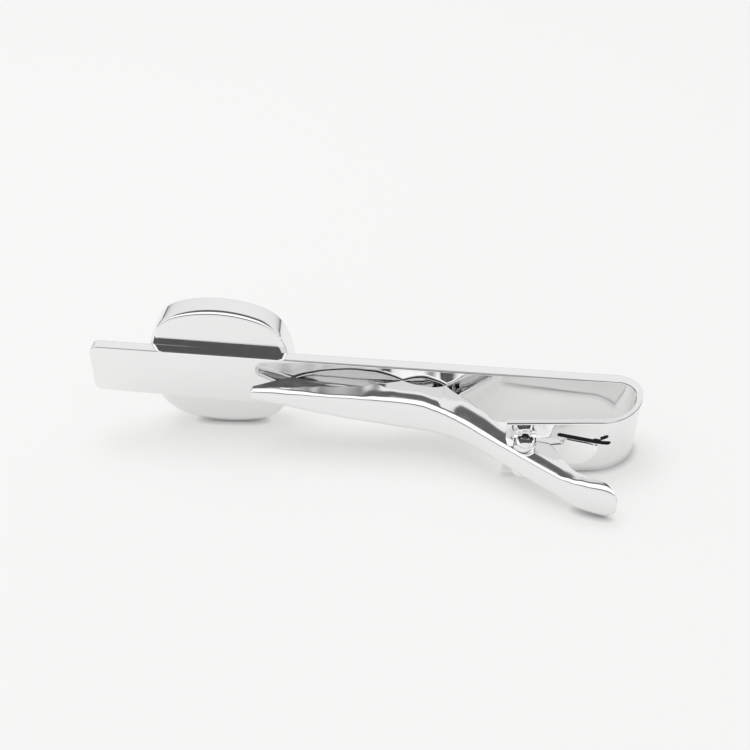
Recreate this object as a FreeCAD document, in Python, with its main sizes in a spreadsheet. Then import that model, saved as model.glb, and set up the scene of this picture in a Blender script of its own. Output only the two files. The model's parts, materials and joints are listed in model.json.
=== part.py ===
import FreeCAD, Part
import math
import os
import re

import Sketcher

# A tie clip: a bar bent into a U, a cushion-shaped medallion on its front and a sprung lever on its back leg.
# Working frame: X along the bar towards the bend, Y towards the wearer's front, Z across the bar's width.
# The origin of that frame is on the bar's back face, behind the medallion's centre. The finished clip is
# then stood on the table, on its medallion's rim, its bend and its thumb pad, with +Z up.

# Driving dimensions, in millimetres and degrees
SIZES = {
    # Front bar
    "tail_width": 5.95,
    "bend_width": 6.8,
    "bar_thickness": 1.2,
    "tail_length": 13.8,
    "corner_radius": 0.9,
    "edge_round": 0.18,
    "bow_start": 19.0,
    "bow_angle": 1.55,
    # Bend and back leg
    "bend_reach": 43.8,
    "front_bend_radius": 2.4,
    "back_bend_radius": 5.05,
    "leg_thickness": 0.7,
    "leg_angle": 6.7,
    "leg_overhang": 0.75,
    # Slanted slot in the leg
    "slot_width": 0.5,
    "slot_inset": 3.35,
    "slot_end_z": 0.55,
    "slot_length": 5.2,
    "slot_slant": 15.0,
    # Short slit above the slot
    "slit_inset": 3.7,
    "slit_end_z": 1.5,
    "slit_length": 1.2,
    "slit_slant": -21.0,
    # Hinge
    "pin_inset": 11.8,
    "pin_radius": 0.45,
    "pin_head_radius": 0.95,
    "pin_head_height": 0.45,
    "pin_head_clearance": 0.05,
    "pin_lip": 0.15,
    "pin_bore_radius": 0.28,
    "pin_bore_depth": 0.6,
    "pin_clearance": 0.05,
    "ear_radius": 1.15,
    "ear_thickness": 0.55,
    "ear_clearance": 0.15,
    "fork_length": 4.0,
    # Medallion
    "medallion_half": 7.75,
    "medallion_corner_gain": 0.62,
    "medallion_corner_radius": 4.65,
    "medallion_thickness": 2.8,
    "medallion_shift": 0.22,
    "medallion_back_round": 0.4,
    "medallion_front_round": 0.2,
    "medallion_rim_width": 0.9,
    # Lever seen along the pin
    "lever_sheet": 0.45,
    "jaw_reach": 28.6,
    "jaw_gap": 0.1,
    "web_gap": 2.45,
    "jaw_angle": 4.1,
    "tip_height": 0.75,
    "tooth_one_run": 4.4,
    "scallop_run": 11.5,
    "nick_run": 4.5,
    "scallop_radius": 13.4,
    "nick_radius": 4.2,
    "waist_radius": 15.0,
    "lever_angle": 34.0,
    "web_offset": 1.5,
    "shoulder_x": 3.2,
    "shoulder_rise": 3.4,
    "boss_radius": 1.05,
    "lobe_x": 2.6,
    "lobe_rise": 0.95,
    "lobe_radius": 7.0,
    "heel_x": 4.1,
    "heel_drop": 1.9,
    "thumb_bend_run": 3.5,
    "thumb_bend_radius": 10.0,
    "thumb_angle": 14.0,
    "thumb_run": 9.0,
    "thumb_bare": 2.1,
    # Lever seen from behind
    "tip_half_width": 0.95,
    "tip_round": 0.55,
    "waist_half_width": 1.78,
    "waist_length": 2.0,
    "hinge_half_width": 1.3,
    "hinge_run": 4.5,
    "thumb_half_width": 1.95,
    "thumb_flat": 1.6,
    "thumb_round": 1.1,
    # Leaf spring
    "spring_thickness": 0.3,
    "spring_clearance": 0.08,
    "spring_foot_gap": 0.2,
    "spring_foot_length": 3.2,
    "spring_foot_width": 3.4,
    "spring_foot_round": 2.0,
    "spring_foot_lift": 0.02,
    "spring_arm_length": 5.2,
}

SHEET = "sizes"
doc = FreeCAD.newDocument("tie_clip")


def make_sheet():
    """Write the driving dimensions to the spreadsheet, one aliased cell each."""
    sheet = doc.addObject("Spreadsheet::Sheet", SHEET)
    for row, (alias, value) in enumerate(SIZES.items(), start=1):
        sheet.set(f"A{row}", alias)
        sheet.set(f"B{row}", str(value))
        sheet.setAlias(f"B{row}", alias)
    doc.recompute()
    return sheet


sheet = make_sheet()


def bound(text):
    """Turn alias names in a formula into references to the spreadsheet."""
    return re.sub(r"[a-z_]+", lambda m: f"{SHEET}.{m[0]}" if m[0] in SIZES else m[0], text)


def value(text):
    """The number that a formula of aliases gives now."""
    return float(sheet.evalExpression(bound(text)))


def plane(body, role):
    return next(feature for feature in body.Origin.OriginFeatures if feature.Role == role)


def arc_between(start, end, radius, side):
    """A short arc from start to end; side 1 has its centre on the left of the way, -1 on the right."""
    chord = end - start
    half = chord.Length / 2
    left = FreeCAD.Vector(-chord.y, chord.x, 0).normalize()
    centre = (start + end) / 2 + left * side * math.sqrt(max(radius**2 - half**2, 0.0))
    first, last = (start, end) if side > 0 else (end, start)
    angles = [math.atan2(point.y - centre.y, point.x - centre.x) for point in (first, last)]
    if angles[1] < angles[0]:
        angles[1] += 2 * math.pi
    circle = Part.Circle(centre, FreeCAD.Vector(0, 0, 1), radius)
    return Part.ArcOfCircle(circle, *angles)


def outline(body, name, role, corners):
    """A closed, fully bound sketch.

    A corner is (x, y), where a straight side follows, or (x, y, radius, side), where an arc follows.
    """
    sketch = body.newObject("Sketcher::SketchObject", name)
    sketch.AttachmentSupport = [(plane(body, role), "")]
    sketch.MapMode = "FlatFace"
    points = [FreeCAD.Vector(value(corner[0]), value(corner[1]), 0) for corner in corners]
    count = len(corners)
    starts, ends = [], []
    for index, corner in enumerate(corners):
        here, there = points[index], points[(index + 1) % count]
        if len(corner) == 2:
            sketch.addGeometry(Part.LineSegment(here, there))
            begin, finish = 1, 2
        else:
            sketch.addGeometry(arc_between(here, there, value(corner[2]), corner[3]))
            begin, finish = (1, 2) if corner[3] > 0 else (2, 1)
        starts.append(begin)
        ends.append(finish)
    for index, corner in enumerate(corners):
        after = (index + 1) % count
        sketch.addConstraint(Sketcher.Constraint("Coincident", index, ends[index], after, starts[after]))
    for index, corner in enumerate(corners):
        for kind, axis, text in (("DistanceX", -2, corner[0]), ("DistanceY", -1, corner[1])):
            if text == "0":
                sketch.addConstraint(Sketcher.Constraint("PointOnObject", index, starts[index], axis))
            else:
                drive(sketch, Sketcher.Constraint(kind, -1, 1, index, starts[index], value(text)), text)
        if len(corner) == 4:
            drive(sketch, Sketcher.Constraint("Radius", index, value(corner[2])), corner[2])
    return sketch


def drive(sketch, constraint, text):
    """Add a dimension to a sketch and bind it to its formula."""
    number = sketch.addConstraint(constraint)
    sketch.setExpression(f"Constraints[{number}]", bound(text))


def new_body(name):
    return doc.addObject("PartDesign::Body", name)


def pad(body, sketch, length):
    """A pad of that length, half of it on each side of the sketch."""
    feature = body.newObject("PartDesign::Pad", "Pad")
    feature.Profile = sketch
    feature.SideType = "Symmetric"
    feature.setExpression("Length", bound(length))
    sketch.Visibility = False
    return feature


def pocket(body, sketch, side, reverse=False):
    """A cut through all, either to one side of the sketch or to both."""
    feature = body.newObject("PartDesign::Pocket", "Pocket")
    feature.Profile = sketch
    feature.Type = "ThroughAll"
    feature.SideType = side
    feature.Reversed = reverse
    before = body.Shape.Volume
    doc.recompute()
    if body.Shape.Volume > before - 1e-6:
        raise RuntimeError(f"{sketch.Label} cuts nothing")
    return feature


def fillet(body, base, chosen, radius):
    """Round the edges of a feature that the test picks."""
    doc.recompute()
    names = [f"Edge{number}" for number, edge in enumerate(base.Shape.Edges, start=1) if chosen(edge)]
    feature = body.newObject("PartDesign::Fillet", "Fillet")
    feature.Base = (base, names)
    feature.setExpression("Radius", bound(radius))
    doc.recompute()
    return feature


def at_level(edge, axis, levels):
    """True if the whole edge lies at one of these coordinates on one axis."""
    low, high = getattr(edge.BoundBox, axis + "Min"), getattr(edge.BoundBox, axis + "Max")
    return any(abs(low - level) < 1e-4 and abs(high - level) < 1e-4 for level in levels)


def revolve(body, sketch, role):
    feature = body.newObject("PartDesign::Revolution", "Revolution")
    feature.Profile = sketch
    feature.ReferenceAxis = (plane(body, role), [""])
    feature.Angle = 360
    return feature


# Formulas of the strip: outside of the bow, the bend and the leg, then their inside
bow_end_x = "(bend_reach - front_bend_radius * (1 + sin(bow_angle)))"
bow_radius = f"(({bow_end_x} - bow_start) / sin(bow_angle))"
bow_end_y = f"(bar_thickness + {bow_radius} * (1 - cos(bow_angle)))"
turn_y = f"({bow_end_y} - front_bend_radius * cos(bow_angle))"
back_centre_x = "(bend_reach - back_bend_radius)"
leg_root_x = f"({back_centre_x} + back_bend_radius * sin(leg_angle))"
leg_root_y = f"({turn_y} - back_bend_radius * cos(leg_angle))"
neck_x = f"({bow_end_x} + bar_thickness * sin(bow_angle))"
neck_y = f"({bow_end_y} - bar_thickness * cos(bow_angle))"
inner_front_radius = f"((bend_reach - leg_thickness - {neck_x}) / (1 + sin(bow_angle)))"
inner_turn_y = f"({neck_y} - {inner_front_radius} * cos(bow_angle))"
inner_back_radius = (
    f"(back_bend_radius - leg_thickness"
    f" + cos(leg_angle) * ({inner_turn_y} - {turn_y}) / (1 - sin(leg_angle)))"
)
inner_root_x = f"(bend_reach - leg_thickness - {inner_back_radius} * (1 - sin(leg_angle)))"
inner_root_y = f"({inner_turn_y} - {inner_back_radius} * cos(leg_angle))"


def leg_outside(x):
    """Height of the leg's outer face at x."""
    return f"({leg_root_y} - ({leg_root_x} - ({x})) * tan(leg_angle))"


def leg_inside(x):
    """Height of the leg's inner face at x."""
    return f"({leg_outside(x)} + leg_thickness / cos(leg_angle))"


widening = "((bend_width - tail_width) / 2 / (bend_reach + tail_length))"
pin_x = "(bend_reach - pin_inset)"
pin_y = f"({leg_outside(pin_x)} - pin_head_radius - pin_head_clearance)"
leg_end = f"({pin_x} - ear_radius - leg_overhang)"
leg_tip_x = f"({leg_end} - leg_thickness * sin(leg_angle))"
leg_tip_y = f"({leg_outside(leg_end)} + leg_thickness * cos(leg_angle))"
fork_half = "(hinge_half_width + ear_clearance)"
ear_half = f"({fork_half} + ear_thickness)"
fork_end = f"({pin_x} + fork_length)"


def strip_corners():
    return [
        ("-tail_length", "0"),
        ("bow_start", "0", f"{bow_radius} + bar_thickness", 1),
        (neck_x, neck_y, inner_front_radius, -1),
        ("bend_reach - leg_thickness", inner_turn_y, inner_back_radius, -1),
        (inner_root_x, inner_root_y),
        (leg_tip_x, leg_tip_y),
        (leg_end, leg_outside(leg_end)),
        (leg_root_x, leg_root_y, "back_bend_radius", 1),
        ("bend_reach", turn_y, "front_bend_radius", 1),
        (bow_end_x, bow_end_y, bow_radius, -1),
        ("bow_start", "bar_thickness"),
        ("-tail_length", "bar_thickness"),
    ]


def ear_corners():
    left, right = f"{pin_x} - ear_radius", f"{pin_x} + ear_radius"
    return [
        (left, leg_inside(left)),
        (left, pin_y, "ear_radius", 1),
        (pin_x, f"{pin_y} - ear_radius", "ear_radius", 1),
        (right, pin_y),
        (right, leg_inside(right)),
    ]


def fork_corners():
    mouth = f"{leg_end} - bar_thickness"
    return [
        (mouth, f"-{fork_half}"),
        (f"{fork_end} - {fork_half}", f"-{fork_half}", fork_half, 1),
        (fork_end, "0", fork_half, 1),
        (f"{fork_end} - {fork_half}", fork_half),
        (mouth, fork_half),
    ]


def slot_corners(end_x, end_z, length, slant):
    """A slot with round ends, along a slanted line that starts at its right end."""
    half = "slot_width / 2"
    corners = []
    for along, across, ending in ((0, -1, 0), (0, 0, -1), (0, 1, 0), (1, 1, 0), (1, 0, 1), (1, -1, 0)):
        x = f"{end_x} - {along} * {length} * cos({slant})"
        z = f"{end_z} + {along} * {length} * sin({slant})"
        x += f" - {half} * ({ending} * cos({slant}) - {across} * sin({slant}))"
        z += f" + {half} * ({ending} * sin({slant}) + {across} * cos({slant}))"
        straight = (along, across) in ((0, 1), (1, -1))
        corners.append((x, z) if straight else (x, z, half, 1))
    return corners


def half_width(x):
    """Half the strip's width at x; it widens evenly from its tail to its bend."""
    return f"(tail_width / 2 + ({x} + tail_length) * {widening})"


def trim_corners(side):
    """What the widening strip leaves of its blank, on one side."""
    before, after = "(-tail_length - bend_width)", "(bend_reach + bend_width)"
    corners = [
        (before, f"{side} * {half_width(before)}"),
        (after, f"{side} * {half_width(after)}"),
        (after, f"{side} * bend_width"),
        (before, f"{side} * bend_width"),
    ]
    return corners if side > 0 else corners[::-1]


def long_edges(shape):
    """The edges of the strip's two sides, less those across its thickness."""
    sides = [face for face in shape.Faces if face.Area > 20 and abs(face.normalAt(0, 0).z) > 0.9]
    bordering = {edge.hashCode() for face in sides for edge in face.Edges}
    across = {edge.hashCode() for edge in shape.Edges if edge.BoundBox.XLength < 1e-4}
    return bordering - across


def make_front_bar():
    body = new_body("front_bar")
    pad(body, outline(body, "strip_outline", "XY_Plane", strip_corners()), "1.5 * bend_width")
    doc.recompute()
    for name, side in (("upper_trim", 1), ("lower_trim", -1)):
        strip = pocket(body, outline(body, name, "XZ_Plane", trim_corners(side)), "Symmetric")
    half, tail = value("tail_width") / 2, -value("tail_length")

    def at_corner(edge):
        return at_level(edge, "X", [tail]) and at_level(edge, "Z", [-half, half])

    corners = fillet(body, strip, at_corner, "corner_radius")
    chosen = long_edges(corners.Shape)
    fillet(body, corners, lambda edge: edge.hashCode() in chosen, "edge_round")
    pad(body, outline(body, "ear_outline", "XY_Plane", ear_corners()), f"2 * {ear_half}")
    doc.recompute()
    pocket(body, outline(body, "fork_outline", "XZ_Plane", fork_corners()), "One side", True)
    for name in ("slot", "slit"):
        end_x = f"(bend_reach - {name}_inset)"
        corners = slot_corners(end_x, *(f"{name}_{size}" for size in ("end_z", "length", "slant")))
        pocket(body, outline(body, f"{name}_outline", "XZ_Plane", corners), "One side", True)
    pocket(body, pin_circle(body, "pin_radius"), "Symmetric")
    return body


def pin_circle(body, radius):
    """The hinge's hole, as a sketch of four quarter arcs round the pin's axis."""
    right, left = f"{pin_x} + {radius}", f"{pin_x} - ({radius})"
    upper, lower = f"{pin_y} + {radius}", f"{pin_y} - ({radius})"
    corners = [(pin_x, lower), (right, pin_y), (pin_x, upper), (left, pin_y)]
    return outline(body, "pin_hole", "XY_Plane", [(x, y, radius, 1) for x, y in corners])


# Formulas of the medallion: where the centres of its corner arcs and its bowed sides lie from its middle
corner_centre = "((medallion_half + medallion_corner_gain - medallion_corner_radius) / sqrt(2))"
corner_depth = "(medallion_half - medallion_corner_radius)"
side_centre = f"((2 * {corner_centre} ^ 2 - {corner_depth} ^ 2) / (2 * ({corner_depth} - {corner_centre})))"
side_radius = f"(medallion_half + {side_centre})"


def cushion_corners(inset):
    """A square with bowed sides and round corners, smaller by an inset; a loop turns one side round."""
    radius = f"({side_radius} - {inset})"
    reach = f"({side_radius} - medallion_corner_radius)"
    along = f"({radius} * {corner_centre} / {reach})"
    out = f"({radius} * ({corner_centre} + {side_centre}) / {reach} - {side_centre})"
    corners = []
    start, end = (out, f"-{along}"), (out, along)
    for _ in range(4):
        corners += [(*start, radius, 1), (*end, f"(medallion_corner_radius - {inset})", 1)]
        start, end = ((f"-({y})", x) for x, y in (start, end))
    return corners


def make_medallion():
    """A cushion-shaped plate; the tray in its front reaches halfway through it."""
    body = new_body("medallion")
    plate = pad(body, outline(body, "plate_outline", "XZ_Plane", cushion_corners("0")), "medallion_thickness")
    half = value("medallion_thickness / 2")
    back = fillet(body, plate, lambda edge: at_level(edge, "Y", [-half]), "medallion_back_round")
    fillet(body, back, lambda edge: at_level(edge, "Y", [half]), "medallion_front_round")
    tray = outline(body, "tray_outline", "XZ_Plane", cushion_corners("medallion_rim_width"))
    pocket(body, tray, "One side")
    return body


def make_hinge_pin():
    """A tubular rivet with a flared, rolled head at each end."""
    body = new_body("hinge_pin")
    head = f"({ear_half} + pin_head_height)"
    floor = f"({ear_half} - pin_bore_depth)"
    mouth = f"({ear_half} + pin_head_height / 2)"
    shoulder, rim = f"({head} - pin_lip)", "pin_head_radius - pin_lip"
    lower = [
        ("0", f"-{floor}"),
        ("pin_bore_radius", f"-{floor}"),
        ("pin_bore_radius", f"-{mouth}"),
        (rim, f"-{head}", "pin_lip", 1),
        ("pin_head_radius", f"-{shoulder}"),
        ("pin_head_radius", f"-{ear_half}"),
        ("pin_radius", f"-{ear_half}"),
    ]
    upper = [
        ("pin_radius", ear_half),
        ("pin_head_radius", ear_half),
        ("pin_head_radius", shoulder, "pin_lip", 1),
        (rim, head),
        ("pin_bore_radius", mouth),
        ("pin_bore_radius", floor),
        ("0", floor),
    ]
    revolve(body, outline(body, "half_section", "XZ_Plane", lower + upper), "Z_Axis")
    return body


# Formulas of the lever's web, from the jaw's tip to the thumb pad. The waist is where the jaw's line and the
# line that passes the pin at a set distance meet, less the length that the bend's arc takes up.
jaw_tip = f"({pin_x} - jaw_reach)"
passing_x = f"({pin_x} - web_offset * sin(lever_angle))"
passing_y = f"({pin_y} - web_offset * cos(lever_angle))"
meeting_x = (
    f"(({passing_y} + {passing_x} * tan(lever_angle) + web_gap - {jaw_tip} * tan(jaw_angle))"
    " / (tan(lever_angle) - tan(jaw_angle)))"
)
waist_start = f"({meeting_x} - waist_radius * tan((lever_angle - jaw_angle) / 2) * cos(jaw_angle))"
waist_y = f"(-web_gap - ({waist_start} - {jaw_tip}) * tan(jaw_angle))"
thumb_start = f"({pin_x} + thumb_bend_run)"
thumb_end = f"({pin_x} + thumb_run)"
flange_end = f"({thumb_end} - thumb_bare)"
tooth_one = f"({jaw_tip} + tooth_one_run)"
tooth_two = f"({tooth_one} + scallop_run)"
tooth_three = f"({tooth_two} + nick_run)"


def web_corners(lift):
    """The line of the web, raised from its outer face by a wall's thickness."""
    jaw_y = f"-web_gap + {lift} / cos(jaw_angle)"
    bend_one_x = f"({waist_start} + {lift} * sin(jaw_angle))"
    bend_one_y = f"({waist_y} + {lift} * cos(jaw_angle))"
    bend_one_radius = f"(waist_radius + {lift})"
    slope_x = f"({bend_one_x} + {bend_one_radius} * (sin(lever_angle) - sin(jaw_angle)))"
    slope_y = f"({bend_one_y} + {bend_one_radius} * (cos(lever_angle) - cos(jaw_angle)))"
    bend_two_x = f"({thumb_start} + {lift} * sin(lever_angle))"
    bend_two_y = f"({slope_y} - ({bend_two_x} - {slope_x}) * tan(lever_angle))"
    bend_two_radius = f"(thumb_bend_radius - {lift})"
    pad_x = f"({bend_two_x} + {bend_two_radius} * (sin(lever_angle) - sin(thumb_angle)))"
    pad_y = f"({bend_two_y} + {bend_two_radius} * (cos(lever_angle) - cos(thumb_angle)))"
    return [
        (jaw_tip, jaw_y),
        (bend_one_x, bend_one_y, bend_one_radius, -1),
        (slope_x, slope_y),
        (bend_two_x, bend_two_y, bend_two_radius, 1),
        (pad_x, pad_y),
    ]


def thumb_line(lift, x):
    """Height of the thumb pad's face at x."""
    pad_x, pad_y = web_corners(lift)[-1]
    return f"({pad_y} - ({x} - {pad_x}) * tan(thumb_angle))"


def lever_side_corners():
    """The lever seen along its pin: its web below, then the free edge of its flanges back to the tip."""
    tip = [(thumb_end, thumb_line("0", thumb_end)), (thumb_end, thumb_line("lever_sheet", thumb_end))]
    edge = [
        (flange_end, thumb_line("lever_sheet", flange_end)),
        (f"{pin_x} + heel_x", f"{pin_y} - heel_drop", "lobe_radius", 1),
        (f"{pin_x} + lobe_x", f"{pin_y} + lobe_rise"),
        (pin_x, f"{pin_y} + boss_radius"),
        (f"{pin_x} - boss_radius", f"{pin_y} + boss_radius"),
        (f"{pin_x} - shoulder_x", f"{pin_y} + shoulder_rise"),
        (tooth_three, "-jaw_gap", "nick_radius", -1),
        (tooth_two, "-jaw_gap", "scallop_radius", -1),
        (tooth_one, "-jaw_gap"),
        (jaw_tip, "-web_gap + tip_height"),
    ]
    return web_corners("0") + tip + edge


def lever_back_corners(wall):
    """The lever's width seen from behind, less a wall on each side; a loop mirrors the upper half."""
    waist_end = f"({waist_start} + waist_length)"
    hinge_start, hinge_stop = f"({pin_x} - hinge_run)", f"({pin_x} + ear_radius)"
    thumb_from, thumb_to = f"({thumb_end} - thumb_round - thumb_flat)", f"({thumb_end} - thumb_round)"
    waist_turn = turn_radius(waist_end, "waist_half_width", hinge_start, "hinge_half_width")
    thumb_turn = turn_radius(hinge_stop, "hinge_half_width", thumb_from, "thumb_half_width")
    upper = [
        (jaw_tip, "tip_half_width - tip_round", "tip_round", -1),
        (f"({jaw_tip} + tip_round)", "tip_half_width", None, 0),
        (waist_start, "waist_half_width", None, 0),
        (waist_end, "waist_half_width", waist_turn, -1),
        (f"({waist_end} + {hinge_start}) / 2", "(waist_half_width + hinge_half_width) / 2", waist_turn, 1),
        (hinge_start, "hinge_half_width", None, 0),
        (hinge_stop, "hinge_half_width", thumb_turn, 1),
        (f"({hinge_stop} + {thumb_from}) / 2", "(hinge_half_width + thumb_half_width) / 2", thumb_turn, -1),
        (thumb_from, "thumb_half_width", None, 0),
        (thumb_to, "thumb_half_width", "thumb_round", -1),
        (thumb_end, "thumb_half_width - thumb_round", None, 0),
    ]
    if wall != "0":
        upper = upper[1:-2] + [(thumb_to, "thumb_half_width", None, 0)]
    lower = []
    for index in reversed(range(len(upper))):
        x, z = upper[index][:2]
        radius, side = upper[index - 1][2:] if index else (None, 0)
        lower.append((x, f"-({z} - {wall})", radius, side))
    upper = [(x, f"{z} - {wall}", radius, side) for x, z, radius, side in upper]
    return [corner if corner[2] else corner[:2] for corner in upper + lower]


def turn_radius(x_one, half_one, x_two, half_two):
    """Radius of the two equal arcs of a smooth step from one half width to another."""
    along, across = f"({x_two} - {x_one})", f"({half_two} - {half_one})"
    return f"(({along} ^ 2 + {across} ^ 2) / (4 * abs({across})))"


def channel_corners():
    """The room inside the channel, seen along the pin, open towards the bar."""
    floor = web_corners("lever_sheet")
    inside, outside = f"({jaw_tip} + lever_sheet)", f"({thumb_end} + lever_sheet)"
    start = (inside, "-web_gap + lever_sheet / cos(jaw_angle) - lever_sheet * tan(jaw_angle)")
    stop = (outside, thumb_line("lever_sheet", outside))
    top = "bar_thickness"
    return [start] + floor[1:] + [stop, (outside, top), (inside, top)]


def swept(name, role, corners, length):
    """A plain pad of an outline, in a body of its own."""
    body = new_body(name)
    pad(body, outline(body, name + "_outline", role, corners), length)
    return body


def make_clip_lever():
    """The blank and the room inside it are each a side view met by a back view; then the hinge's hole."""
    wide, deep = "4 * thumb_half_width", "4 * bend_reach"
    blank = common(
        "lever_blank",
        swept("lever_side", "XY_Plane", lever_side_corners(), wide),
        swept("lever_back", "XZ_Plane", lever_back_corners("0"), deep),
    )
    room = common(
        "lever_room",
        swept("channel_side", "XY_Plane", channel_corners(), wide),
        swept("channel_back", "XZ_Plane", lever_back_corners("lever_sheet"), deep),
    )
    hole = new_body("lever_hole")
    pad(hole, pin_circle(hole, "(pin_radius + pin_clearance)"), wide)
    return cut("clip_lever", cut("lever_channel", blank, room), hole)


def common(name, *shapes):
    feature = doc.addObject("Part::MultiCommon", name)
    feature.Shapes = list(shapes)
    return feature


def cut(name, base, tool):
    feature = doc.addObject("Part::Cut", name)
    feature.Base = base
    feature.Tool = tool
    return feature


def make_leaf_spring():
    """A leaf bent back round the pin: one arm along the web, the other down to a foot on the leg."""
    body = new_body("leaf_spring")
    doc.recompute()
    pad(body, outline(body, "leaf_outline", "XY_Plane", leaf_corners()), f"2 * {leaf_half}")
    pad(body, outline(body, "foot_outline", "XY_Plane", foot_corners()), "2 * spring_foot_width")
    doc.recompute()
    for name, corners in (("foot_upper_trim", foot_upper_trim()), ("foot_lower_trim", foot_lower_trim())):
        pocket(body, outline(body, name, "XZ_Plane", corners), "Symmetric")
    return body


leaf_half = "(hinge_half_width - lever_sheet - spring_clearance)"
leaf_eye = "(pin_radius + spring_clearance)"
leaf_back = f"({leaf_eye} + spring_thickness)"
arm_depth = "(web_offset - lever_sheet - spring_clearance)"
foot_start = f"({fork_end} + spring_foot_gap)"
foot_end = f"({foot_start} + spring_foot_length)"
slot_end = "(bend_reach - slot_inset)"


def foot_face(x, lift):
    """Height at x of a line along the foot, lifted off the leg's outer face."""
    return f"({leg_outside(x)} - ({lift}) / cos(leg_angle))"


def leaf_corners():
    """Outline of the bent leaf seen along the pin."""
    upper_y = f"({pin_y} - {leaf_back})"
    upper_inner_y = f"({pin_y} - {leaf_eye})"
    lower_y = f"({pin_y} + {leaf_back})"
    lower_inner_y = f"({pin_y} + {leaf_eye})"
    return [
        (foot_start, foot_face(foot_start, "spring_foot_lift")),
        (pin_x, lower_y, leaf_back, 1),
        (f"{pin_x} - {leaf_back}", pin_y, leaf_back, 1),
        (pin_x, upper_y),
        along_web("spring_arm_length", arm_depth),
        along_web("spring_arm_length", f"({arm_depth} - spring_thickness)"),
        (pin_x, upper_inner_y, leaf_eye, -1),
        (f"{pin_x} - {leaf_eye}", pin_y, leaf_eye, -1),
        (pin_x, lower_inner_y),
        (foot_start, foot_face(foot_start, "spring_foot_lift + spring_thickness")),
    ]


def along_web(run, depth):
    """A point a run along the web from the pin, and a depth from the pin towards the web."""
    x = f"({pin_x} + {run} * cos(lever_angle) - {depth} * sin(lever_angle))"
    y = f"({pin_y} - {run} * sin(lever_angle) - {depth} * cos(lever_angle))"
    return x, y


def foot_top(x):
    """Upper edge of the foot at x, along the lower side of the leg's slot."""
    return f"(slot_end_z - slot_width / 2 / cos(slot_slant) + ({slot_end} - {x}) * tan(slot_slant))"


def foot_upper_trim():
    start, stop, top = foot_start, f"({foot_end} + spring_thickness)", "2 * spring_foot_width"
    return [(start, foot_top(start)), (stop, foot_top(stop)), (stop, top), (start, top)]


def foot_lower_trim():
    """What is cut off below the foot, with its round lower corner."""
    start, stop = foot_start, f"({foot_end} + spring_thickness)"
    low = f"({foot_top(foot_start)} - spring_foot_width)"
    bottom = "-2 * spring_foot_width"
    return [
        (start, bottom),
        (stop, bottom),
        (stop, f"{low} + spring_foot_round"),
        (foot_end, f"{low} + spring_foot_round", "spring_foot_round", -1),
        (f"{foot_end} - spring_foot_round", low),
        (start, low),
    ]


def foot_corners():
    thick = "spring_foot_lift + spring_thickness"
    return [
        (foot_start, foot_face(foot_start, thick)),
        (foot_end, foot_face(foot_end, thick)),
        (foot_end, foot_face(foot_end, "spring_foot_lift")),
        (foot_start, foot_face(foot_start, "spring_foot_lift")),
    ]


def rest_placement():
    """Stand the clip on the table: on the medallion's rim, the bend's lower edge and the thumb pad."""
    half, radius = value(half_width(back_centre_x)), value(side_radius)
    bend = FreeCAD.Vector(value(back_centre_x), value(turn_y), -half)
    back_rim = value("bar_thickness + medallion_back_round")
    centre = FreeCAD.Vector(-value("medallion_shift"), back_rim, value(side_centre))
    thumb = FreeCAD.Vector(
        value(f"{thumb_end} - thumb_round"),
        value(thumb_line("0", f"({thumb_end} - thumb_round)")),
        -value("thumb_half_width"),
    )
    up = FreeCAD.Vector(0, 0, 1)
    for _ in range(40):
        flat = FreeCAD.Vector(up.x, 0, up.z).normalize()
        outward = FreeCAD.Vector(up.x, up.y, 0)
        rim_point = centre - flat * radius
        bend_point = bend
        if outward.Length > 0:
            bend_point = bend - outward.normalize() * value("back_bend_radius")
        up = (bend_point - rim_point).cross(thumb - rim_point).normalize()
        if up.z < 0:
            up = up * -1
    turn = FreeCAD.Rotation(up, FreeCAD.Vector(0, 0, 1))
    return FreeCAD.Placement(FreeCAD.Vector(), turn)


def seat_on_table(parts):
    """Lay every sub-part in the table's frame, with the origin under the middle of the clip."""
    rest = rest_placement()
    for part, offset in parts:
        part.Placement = rest.multiply(FreeCAD.Placement(offset, FreeCAD.Rotation()))
    doc.recompute()
    box = FreeCAD.BoundBox()
    for part, _ in parts:
        box.add(part.Shape.optimalBoundingBox(False))
    shift = FreeCAD.Vector(-box.Center.x, -box.Center.y, -box.ZMin)
    for part, _ in parts:
        part.Placement = FreeCAD.Placement(shift, FreeCAD.Rotation()).multiply(part.Placement)
    doc.recompute()
    return FreeCAD.Placement(shift, FreeCAD.Rotation()).multiply(rest)


def check():
    for item in doc.Objects:
        if {"Invalid", "Error"} & set(item.State):
            raise RuntimeError(f"{item.Label} failed: {item.State}")


def main():
    here = FreeCAD.Vector()
    medallion_middle = value("bar_thickness + medallion_thickness / 2")
    medallion_place = FreeCAD.Vector(-value("medallion_shift"), medallion_middle, 0)
    pin_place = FreeCAD.Vector(value(pin_x), value(pin_y), 0)
    parts = [
        (make_front_bar(), here),
        (make_medallion(), medallion_place),
        (make_clip_lever(), here),
        (make_hinge_pin(), pin_place),
        (make_leaf_spring(), here),
    ]
    doc.recompute()
    check()
    seat = seat_on_table(parts)
    check()
    os.makedirs("parts", exist_ok=True)
    for part, _ in parts:
        shape = part.Shape
        if shape.isNull() or not shape.isValid() or len(shape.Solids) != 1:
            raise RuntimeError(f"{part.Label} is not one sound solid")
    for part, _ in parts:
        part.Shape.exportStep(f"parts/{part.Label}.step")
        print(part.Label, "volume", round(part.Shape.Volume, 2))
    print("seat", seat)
    pin_axis = seat.Rotation.multVec(FreeCAD.Vector(0, 0, 1))
    print("pin axis point", seat.multVec(pin_place), "direction", pin_axis)


main()
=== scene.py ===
import json
import math

import bmesh
import bpy
from mathutils import Matrix, Vector


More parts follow.
